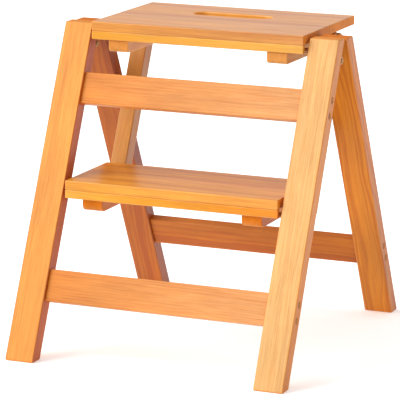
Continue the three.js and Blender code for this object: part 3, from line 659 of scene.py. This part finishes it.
def pine(name, pale, deep, last, ring=5.0, contrast=0.5, mottle=1.0, coat=0.12, rough=0.45,
         rub_and_highlight=0.1):
    """Stained and lacquered pine: pale at a stain of 0, deep at 1, the last tone at 2. A piece's
    stain holds painted light and shade as well as the wood's own tone.

    Growth rings lie about the pith at distance sqrt(across^2 + through^2), bent by slow noise, and
    grow with the place along the grain, so that they run out of a face in long points. Each ring
    goes slowly from light to dark and quickly back, and rings differ in width and strength. Over
    them lie fibres, warm spots, slow clouds and fine lines along the grain. End grain is darker and
    dotted, with little gloss. Eased edges show the bare wood in patches, by the given amount:
    partly wear, partly a painted highlight. Where a piece marks painted shade, the colour is
    darker."""
    m = Recipe(name)
    grain = m.reads("grain", "Vector")
    end, edge_wear_and_highlight, stain_and_painted_light, painted_shade = m.reads("end"), m.reads("edge_wear_and_highlight"), m.reads("stain_and_painted_light"), m.reads("painted_shade")
    split = m.put("SeparateXYZ", {0: grain}).outputs
    across_ring = m.sum("MULTIPLY_ADD", m.noise(grain, 0.004, 0.018), 40.0, split[1])
    through = m.sum("MULTIPLY_ADD", m.noise(grain, 0.013, 0.07, 3.0), 7.0, split[2])
    distance = m.sum("SQRT", m.sum("ADD", m.sum("MULTIPLY", across_ring, across_ring),
                                   m.sum("MULTIPLY", through, through)))
    years = m.sum("DIVIDE", m.sum("MULTIPLY_ADD", split[0], 0.02, distance), ring)
    slip = m.drift(years, 0.55, 1.0)
    rings = m.put("ValToRGB", {"Fac": m.sum("FRACT", m.sum("MULTIPLY_ADD", slip, 2.6, years))})
    ramp = rings.color_ramp
    ramp.interpolation = "B_SPLINE"
    for place, level in RING_TONES:
        spot = ramp.elements.new(place) if 0 < place < 1 else ramp.elements[0 if place == 0 else -1]
        spot.position, spot.color = place, (level, level, level, 1)
    strength = m.spread(m.drift(years, 0.31, 0.0), 0.3, 0.7, 0.25, 1.0)
    latewood = m.sum("MULTIPLY", m.sum("MULTIPLY", rings.outputs[0], strength),
                     m.sum("MULTIPLY_ADD", end, -0.6, 1.0))
    fibre = m.noise(grain, 0.016, 0.75, 4.0, 0.65)
    fine = m.noise(grain, 0.07, 4.5, 3.0, 0.6)
    cloud = m.noise(grain, 0.008, 0.035, 3.0, 0.55)
    spots = m.noise(grain, 0.05, 0.16, 3.0, 0.6)
    dots = m.spread(m.noise(grain, 0.0, 2.2), 0.5, 0.7, 0.0, 0.5)
    colour = m.mix(m.sum("MINIMUM", stain_and_painted_light, 1.0), linear(pale), linear(deep))
    colour = m.mix(m.sum("SUBTRACT", stain_and_painted_light, 1.0, clamp=True), colour, linear(last))
    colour = m.glaze(m.sum("MULTIPLY", latewood, contrast), colour, LATEWOOD)
    colour = m.glaze(m.sum("MULTIPLY", m.spread(fibre, 0.40, 0.72), 0.62 * mottle), colour, FIBRE)
    colour = m.glaze(m.sum("MULTIPLY", m.spread(spots, 0.32, 0.68), 0.35 * mottle), colour, WARMTH)
    lift = m.sum("ADD", m.spread(cloud, 0.3, 0.7, 0.96 - 0.06 * mottle, 1.03 + 0.05 * mottle),
                 m.spread(fine, 0.3, 0.7, -0.10, 0.10))
    # Painted shade, where a piece marks it, darkens the colour.
    lift = m.sum("SUBTRACT", lift, painted_shade)
    lifted = m.put("CombineColor", {0: lift, 1: lift, 2: lift}).outputs[0]
    colour = m.mix(1.0, colour, lifted, "MULTIPLY")
    colour = m.glaze(m.sum("MULTIPLY", end, 0.85), colour, END_GRAIN)
    colour = m.glaze(m.sum("MULTIPLY", end, dots), colour, END_DOTS)
    # Eased edges turn towards bare wood in patches: partly wear, partly a painted highlight.
    patch = m.spread(m.noise(grain, 0.03, 0.2, 3.0), 0.42, 0.62, 0.2, 1.0)
    worn_and_highlit = m.sum("MULTIPLY", edge_wear_and_highlight, m.sum("MULTIPLY", patch, rub_and_highlight))
    dull = m.sum("ADD", m.spread(fibre, 0.3, 0.7, rough - 0.06, rough + 0.08),
                 m.sum("MULTIPLY", end, 0.2))
    height = m.sum("ADD", m.sum("MULTIPLY", fibre, 0.6), m.sum("MULTIPLY", latewood, 0.35))
    m.bump(m.sum("ADD", height, m.sum("MULTIPLY", fine, 0.25)), 0.3, 0.0003)
    m.shade(Base_Color=m.mix(worn_and_highlit, colour, BARE_WOOD_AND_HIGHLIGHT),
            Roughness=m.sum("ADD", dull, m.sum("MULTIPLY", worn_and_highlit, 0.1)),
            Specular_IOR_Level=m.sum("MULTIPLY_ADD", end, -0.3, 0.45),
            Coat_Weight=m.sum("MULTIPLY_ADD", end, -0.9 * coat, coat),
            IOR=1.42, Coat_Roughness=0.2)
    return m.material


def zinc(name, bright, dull, scored, metallic=1.0):
    """Yellowed zinc on rolled steel: fine scratches along X, faint clouds, a dull wiped look. With
    less than full metallic it is lacquered."""
    m = Recipe(name)
    place = m.put("TexCoord").outputs["Object"]
    scratch = m.noise(place, 60.0, 2600.0, 4.0, 0.6)
    cloud = m.noise(place, 130.0, 130.0, 3.0)
    colour = m.mix(m.spread(cloud, 0.35, 0.7), linear(bright), linear(dull))
    m.bump(scratch, 0.2, 0.00005)
    m.shade(Base_Color=m.mix(m.spread(scratch, 0.45, 0.75, 0.0, 0.35), colour, linear(scored)),
            Roughness=m.sum("ADD", m.spread(scratch, 0.3, 0.7, 0.22, 0.38),
                            m.spread(cloud, 0.3, 0.7, 0.0, 0.12)),
            Metallic=metallic)
    return m.material


LEG_PINE = pine("light_leg_pine", "dcae70", "de9230", "b4540f",
                ring=7.0, contrast=0.4, mottle=1.3, coat=0.04)
RAIL_PINE = pine("honey_rail_pine", "da9f66", "d47d06", "a85a20",
                 ring=5.0, contrast=0.4, mottle=1.4, coat=0.02)
LINK_PINE = pine("link_pine", "c98e3c", "b07434", "a06028", ring=6.0, contrast=0.4, mottle=1.3)
REAR_PINE = pine("deep_rear_pine", "dc902a", "cc7804", "9c4c10",
                 ring=11.0, contrast=0.9, mottle=1.2, coat=0.06)
# Its bright last tone is reached chiefly on the hand hole's walls, as painted light.
SEAT_PINE = pine("seat_board_pine", "d89858", "de9228", "f9b245",
                 ring=12.0, contrast=0.9, mottle=1.2, coat=0.5)
STEP_PINE = pine("step_board_pine", "da9444", "e09826", "c47010",
                 ring=9.0, contrast=0.8, mottle=1.2, coat=0.3)
# The strip's eased edges show more bare wood: partly wear, partly a painted highlight.
STRIP_PINE = pine("strip_pine", "e0aa50", "dc9418", "dc8010",
                  ring=5.0, contrast=0.4, coat=0.03, rub_and_highlight=0.3)
PLUG_WOOD = pine("plug_wood", "b07840", "98602e", "70401c",
                 ring=2.5, contrast=0.5, coat=0.0, rough=0.7)
YELLOW_ZINC = zinc("yellowed_zinc_steel", "b08a52", "927044", "6b5230")
BRONZED = zinc("bronzed_steel", "b87a48", "9c6438", "7a4c2a", metallic=0.35)


# ---- The stool ----


def rail_screws(place):
    """A rail's lower and upper screw, half their spread below and above its middle."""
    return (("lower", place - SCREW_SPREAD / 2), ("upper", place + SCREW_SPREAD / 2))


def build_rail(body, name, place, material, pith, stain_and_painted_light):
    """A rail and its four screws with their plugs, whose grain runs across the leg's."""
    piece(name, body, rail(place), material, "frame_pine", "x", pith, stain_and_painted_light)
    for side_name, side in SIDES:
        for level, at in rail_screws(place):
            piece(f"{name}_screw_{side_name}_{level}", body, plug_shell(side, at), PLUG_WOOD,
                  "rail_screw_head", "behind", (40.0, 30.0))


def build_front_frame():
    """Two leaning legs, two rails, the pivot rods, stop blocks and the front of the hinges."""
    body = "front_frame"
    seat_at, step_at = (on_frame(p, (0, 0), FRONT_LEAN) for p in (SEAT_PIVOT, STEP_PIVOT))
    upper = seat_at[1] - UPPER_RAIL_DROP
    places = [at for rail_at in (upper, LOWER_RAIL_PLACE) for _, at in rail_screws(rail_at)]
    # The left leg is stained deeper than the right: partly its own tone, partly painted light.
    piths, stains_and_painted_light = ((62.0, 70.0), (-28.0, 95.0)), ((0.95, 0.95), (0.1, 0.1))
    for (side_name, side), pith, stain_and_painted_light in zip(SIDES, piths, stains_and_painted_light):
        # Its side faces get painted shade.
        piece(f"front_leg_{side_name}", body, leg(side, FRONT_LEAN, FRONT_LEG_HEIGHT, places),
              LEG_PINE, "frame_pine", "along", pith, stain_and_painted_light, painted_side_shade=1.35)
        piece(f"rear_stop_block_{side_name}", body, stop_block(side), LEG_PINE, "frame_pine", "x",
              (30.0, 80.0))
        piece(f"hinge_front_leaf_{side_name}", body, front_leaf(side), YELLOW_ZINC, "steel")
        piece(f"hinge_pin_{side_name}", body, hinge_pin(side), YELLOW_ZINC, "steel")
        for number, (x, drop) in enumerate(LEAF_SCREWS, 1):
            screw = crossed_screw(side * (LEG_MIDDLE + x), LEG_THICKNESS + SCREW_SEAT,
                                  LEAF_TOP - drop, 1)
            piece(f"hinge_front_screw_{side_name}_{number}", body, screw, YELLOW_ZINC, "steel")
    # Each rail's stain pales from left to right: partly its own tone, partly painted light.
    build_rail(body, "front_rail_upper", upper, RAIL_PINE, (34.0, 60.0), (1.0, 0.0))
    build_rail(body, "front_rail_lower", LOWER_RAIL_PLACE, RAIL_PINE, (-46.0, 52.0), (1.0, 0.1))
    reach = LEG_INNER + ROD_BITE
    for name, at in (("seat_pivot_rod", seat_at), ("step_pivot_rod", step_at)):
        piece(name, body, rod_shell(ROD_RADIUS, (-reach, reach), *at), BRONZED, "steel")


def build_rear_frame():
    """Two legs that lean the other way, their rail and the rear half of the hinges."""
    body = "rear_frame"
    places = [at for _, at in rail_screws(REAR_RAIL_PLACE)]
    for (side_name, side), pith in zip(SIDES, ((48.0, 55.0), (8.0, 46.0))):
        # Its side faces get painted shade.
        piece(f"rear_leg_{side_name}", body, leg(side, -REAR_LEAN, REAR_LEG_HEIGHT, places),
              REAR_PINE, "frame_pine", "along", pith, (1.6, 0.3), painted_side_shade=0.8)
        piece(f"hinge_rear_strap_{side_name}", body, rear_strap(side), YELLOW_ZINC, "steel")
        for number, rise in enumerate(STRAP_SCREWS, 1):
            screw = crossed_screw(side * LEG_MIDDLE, -SCREW_SEAT,
                                  HINGE_ON_REAR[1] - STRAP_CRANK + rise, -1)
            piece(f"hinge_rear_screw_{side_name}_{number}", body, screw, YELLOW_ZINC, "steel")
    build_rail(body, "rear_rail", REAR_RAIL_PLACE, REAR_PINE, (36.0, 44.0), (1.4, 1.2))


# How much more stain each plank has than the board.
PLANK_SHADES = (0.35, 0.0, 0.3, 0.1)
# And how much more stain each of the sixteen lines round the holed plank's section has, in the hole
# only: painted light, which makes the hole's walls brighter.
HOLE_PAINTED_LIGHT = [1.6, 1.6, 0.8] + [0.0] * 10 + [0.8, 1.6, 1.6]


def build_seat():
    """The seat: four planks, the third with the hand hole, the strip and two cleats."""
    # The seat's front faces get painted shade.
    build_board("seat", SEAT_PLANKS, SEAT_FRONT, SEAT_DEPTH, SEAT_PINE, (1.0, 0.1), SEAT_FRONT_PAINTED_SHADE)
    for side_name, side in SIDES:
        shell = cleat(side, SEAT_CLEAT_FRONT, SEAT_FRONT + STRIP_DEPTH, SEAT_CLEAT_ROUND,
                      SEAT_FRONT + SEAT_DEPTH, SEAT_CLEAT_TAIL, 0.0)
        # Its side faces get a little painted shade.
        piece(f"seat_cleat_{side_name}", "seat", shell, LEG_PINE, "frame_pine", "behind",
              (44.0, 58.0 * side), (0.35, 0.0), painted_side_shade=0.2)


def build_step():
    """The step: three planks up to a gap before the links, the strip and two tongued cleats."""
    face = (ARM_REACH + (BOARD_UNDER + ARM_DROP) * math.tan(FRONT_LEAN)
            - LINK_FACE / math.cos(FRONT_LEAN))
    depth = -STEP_FRONT + face - STEP_BACK_GAP
    build_board("step", STEP_PLANKS, STEP_FRONT, depth, STEP_PINE, (0.4, 1.9))
    for side_name, side in SIDES:
        shell = cleat(side, STEP_CLEAT_FRONT, STEP_FRONT + STRIP_DEPTH, STEP_CLEAT_ROUND,
                      STEP_FRONT + depth, STEP_CLEAT_TAIL, TONGUE_DROP)
        # Its side faces get painted shade.
        piece(f"step_cleat_{side_name}", "step", shell, REAR_PINE, "frame_pine", "behind",
              (44.0, 58.0 * side), (0.3, 0.3), painted_side_shade=0.9)


def build_board(body, count, front, depth, material, strip_stain_and_painted_light, front_painted_shade=0.0):
    """A slab glued up from planks, rounded at its front and back, and the strip under its front."""
    width = depth / count
    for i in range(count):
        y0, y1 = front + i * width, front + (i + 1) * width
        tint = 0.0
        if body == "seat" and i + 1 == HOLED_PLANK:
            shell = holed_plank(y0, y1, BOARD_UNDER, PIVOT_DROP, (y0 + y1) / 2 + HOLE_SHIFT)
            # Painted light on the hand hole's walls.
            tint = np.repeat(HOLE_PAINTED_LIGHT, len(shell[0]) // len(HOLE_PAINTED_LIGHT))
        else:
            shell = plank(y0, y1, BOARD_UNDER, PIVOT_DROP, BOARD_ROUND if i == 0 else GLUED_ROUND,
                          BOARD_ROUND if i == count - 1 else GLUED_ROUND)
        # The planks' stain pales from left to right: partly their own tone, partly painted light.
        stain_and_painted_light = (0.8 + PLANK_SHADES[i], 0.1 + PLANK_SHADES[i])
        piece(f"{body}_plank_{i + 1}", body, shell, material, "board_pine", "x",
              (40.0 - 31.0 * i, 30.0 + 23.0 * (i % 2)), stain_and_painted_light, tint=tint, front_painted_shade=front_painted_shade)
    strip = box_corners(front, front + STRIP_DEPTH, BOARD_UNDER - STRIP_HEIGHT, BOARD_UNDER,
                        STRIP_ROUNDS)
    piece(f"{body}_front_strip", body, carried(rounded, strip, (-SLAB_END, SLAB_END), BOARD_EASE),
          STRIP_PINE, "board_pine", "x", (25.0, 66.0), strip_stain_and_painted_light)


def build_links():
    """The links between seat and step, their rods and caps, and the seat's stop pins.

    A stop pin lies in front of its link: STOP_PIN_PLACE up it, and its own radius and a gap off."""
    off = LINK_FACE + STOP_PIN_GAP + STOP_PIN_RADIUS
    pin_y = ARM_REACH + STOP_PIN_PLACE * math.sin(FRONT_LEAN) - off * math.cos(FRONT_LEAN)
    pin_z = STOP_PIN_PLACE * math.cos(FRONT_LEAN) + off * math.sin(FRONT_LEAN) - ARM_DROP
    for side_name, side in SIDES:
        # Its side faces get painted shade.
        piece(f"link_{side_name}", "links", link(side), LINK_PINE, "frame_pine", "along",
              (38.0, 60.0), (0.0, 0.0), painted_side_shade=0.8)
        ends = across(side, CLEAT_INNER, SLAB_END - STOP_PIN_INSET)
        piece(f"link_stop_pin_{side_name}", "seat", rod_shell(STOP_PIN_RADIUS, ends, pin_y, pin_z),
              BRONZED, "steel")
    reach = SLAB_END + CLEARANCE + LINK_ROD_END
    for board, place in (("step", 0.0), ("seat", LINK_SPAN)):
        rod = rod_shell(LINK_ROD_RADIUS, (-reach, reach), 0, place)
        piece(f"{board}_link_rod", "links", rod, BRONZED, "steel")
        for side_name, side in SIDES:
            cap = cap_shell(side, place)
            piece(f"{board}_link_cap_{side_name}", "links", cap, BRONZED, "steel")


# ---- The studio ----


def direction(azimuth, elevation):
    """The unit vector towards a place at an azimuth and elevation, in degrees, from the stool:
    (sin az cos el, -cos az cos el, sin el)."""
    az, el = math.radians(azimuth), math.radians(elevation)
    return Vector((math.sin(az) * math.cos(el), -math.cos(az) * math.cos(el), math.sin(el)))


def photograph_camera():
    """The camera stands at AIM + DISTANCE * away, where away points to it from the stool, and its
    right and up are rolled about away."""
    az, roll = math.radians(AZIMUTH), math.radians(ROLL)
    away = direction(AZIMUTH, ELEVATION)
    right = Vector((math.cos(az), math.sin(az), 0))
    up = away.cross(right)
    rolled_right = math.cos(roll) * right + math.sin(roll) * up
    rolled_up = -math.sin(roll) * right + math.cos(roll) * up
    data = bpy.data.cameras.new("photograph")
    data.lens, data.sensor_width, data.sensor_fit = LENS, SENSOR, "HORIZONTAL"
    data.clip_end = SIGHT
    camera = bpy.data.objects.new("photograph", data)
    bpy.context.scene.collection.objects.link(camera)
    turn = Matrix((rolled_right, rolled_up, away)).transposed().to_4x4()
    camera.matrix_world = Matrix.Translation(Vector(AIM) + DISTANCE * away) @ turn
    bpy.context.scene.camera = camera


def soft_light(name, azimuth, elevation, spread, strength):
    """A broad even light from far away, in that direction and spread that wide, in degrees."""
    data = bpy.data.lights.new(name, "SUN")
    data.energy, data.angle = strength, math.radians(spread)
    lamp = bpy.data.objects.new(name, data)
    lamp.rotation_euler = direction(azimuth, elevation).to_track_quat("Z", "Y").to_euler()
    bpy.context.scene.collection.objects.link(lamp)


def floor_and_light():
    """A wide pale floor that glows a little, so that it is as pale as the air round it; even white
    light from all sides, and one soft light from the front left."""
    mesh = bpy.data.meshes.new("floor")
    mesh.from_pydata([(FLOOR_REACH * x, FLOOR_REACH * y, 0)
                      for x, y in ((-1, -1), (1, -1), (1, 1), (-1, 1))], [], [(0, 1, 2, 3)])
    floor = bpy.data.objects.new("floor", mesh)
    bpy.context.scene.collection.objects.link(floor)
    pale = Recipe("pale_floor")
    pale.shade(Base_Color=(0.95, 0.95, 0.95, 1), Roughness=0.9, Emission_Color=(1, 1, 1, 1),
               Emission_Strength=0.3)
    mesh.materials.append(pale.material)
    world = bpy.data.worlds.new("studio")
    world.use_nodes = True
    air = world.node_tree.nodes["Background"].inputs
    air["Color"].default_value, air["Strength"].default_value = (1, 1, 1, 1), 0.72
    bpy.context.scene.world = world
    bpy.context.scene.view_settings.view_transform = "Standard"
    soft_light("front_left_light", azimuth=-58, elevation=38, spread=50, strength=2.9)


build_front_frame()
build_rear_frame()
build_seat()
build_step()
build_links()
photograph_camera()
floor_and_light()
